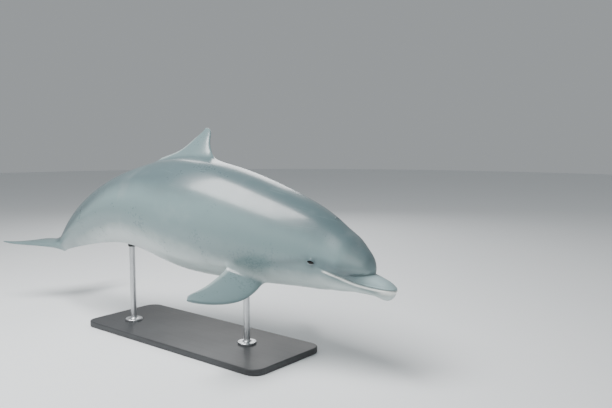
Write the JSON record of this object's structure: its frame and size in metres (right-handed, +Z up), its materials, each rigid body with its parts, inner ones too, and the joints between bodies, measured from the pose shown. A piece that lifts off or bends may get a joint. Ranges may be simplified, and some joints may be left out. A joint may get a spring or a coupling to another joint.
{
  "type": "bottlenose dolphin, life-size display model on a stand",
  "caption": "Still life-size bottlenose dolphin in a banked turn, fins spread, held over a flat base by short upright rods.",
  "frame": {"origin": "centre of the stand base's underside, on the floor", "axes": "+X along the animal towards its head, +Y to its left, +Z up"},
  "size_m": [2.6024, 0.9625, 1.0536],
  "materials": {
    "skin": "smooth wet-looking skin, grey above, paler below",
    "eye": "polished dark glass eye",
    "stand_base": "board with a fine satin graphite lacquer",
    "stand_rod": "brushed"
  },
  "bodies": {
    "root": {"upper_beak": "skin", "lower_jaw": "skin", "head": "skin", "neck": "skin", "trunk_front": "skin", "trunk_rear": "skin", "tail_stock": "skin", "dorsal_fin": "skin", "flipper_left": "skin", "flipper_right": "skin", "fluke_left": "skin", "fluke_right": "skin", "eye_left": "eye", "eye_right": "eye", "stand_base": "stand_base", "stand_rod_front": "stand_rod", "stand_rod_rear": "stand_rod"}
  },
  "joints": []
}
